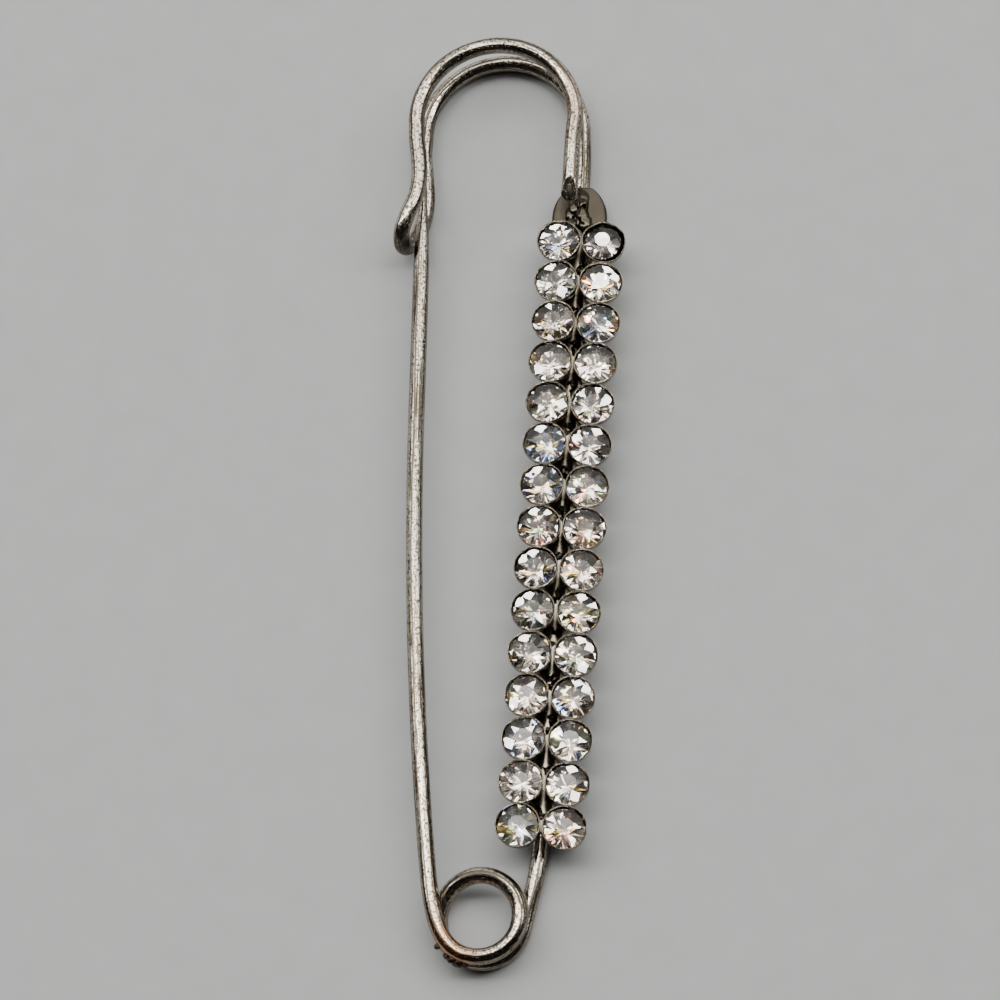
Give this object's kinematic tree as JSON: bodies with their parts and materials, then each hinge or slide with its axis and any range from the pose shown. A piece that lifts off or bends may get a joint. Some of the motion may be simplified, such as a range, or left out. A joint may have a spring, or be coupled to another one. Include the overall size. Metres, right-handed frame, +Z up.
{
  "type": "safety pin brooch",
  "caption": "Safety pin brooch: bent wire with a coil spring, a hook that catches the sprung stem, and a soldered bar of round clear stones in cups.",
  "frame": {"origin": "middle of the brooch's outline, on the table it lies on", "axes": "+X from the stem to the stones, +Y from the coil to the head, +Z up from the table, the way the stones face"},
  "size_m": [0.0186, 0.0758, 0.0048],
  "materials": {
    "plated_metal": "bright warm nickel plate over drawn wire, with fine draw lines and small pits",
    "stone": "clear glass with a mirror foil behind, so nothing shows through"
  },
  "bodies": {
    "frame": {"pin_frame": "plated_metal", "stone_left_01": "stone", "stone_left_02": "stone", "stone_left_03": "stone", "stone_left_04": "stone", "stone_left_05": "stone", "stone_left_06": "stone", "stone_left_07": "stone", "stone_left_08": "stone", "stone_left_09": "stone", "stone_left_10": "stone", "stone_left_11": "stone", "stone_left_12": "stone", "stone_left_13": "stone", "stone_left_14": "stone", "stone_left_15": "stone", "stone_right_01": "stone", "stone_right_02": "stone", "stone_right_03": "stone", "stone_right_04": "stone", "stone_right_05": "stone", "stone_right_06": "stone", "stone_right_07": "stone", "stone_right_08": "stone", "stone_right_09": "stone", "stone_right_10": "stone", "stone_right_11": "stone", "stone_right_12": "stone", "stone_right_13": "stone", "stone_right_14": "stone", "stone_right_15": "stone"},
    "stem": {"pin_stem": "plated_metal"}
  },
  "joints": [
    {"name": "stem_squeeze", "type": "hinge", "parent": "frame", "child": "stem", "pos_m": [-0.00099, -0.0341, 0.00225], "axis": [0, 0, 1], "range_deg": [-8, 0], "stiffness_Nm_per_rad": 0.4, "springref_deg": 0.57}
  ]
}
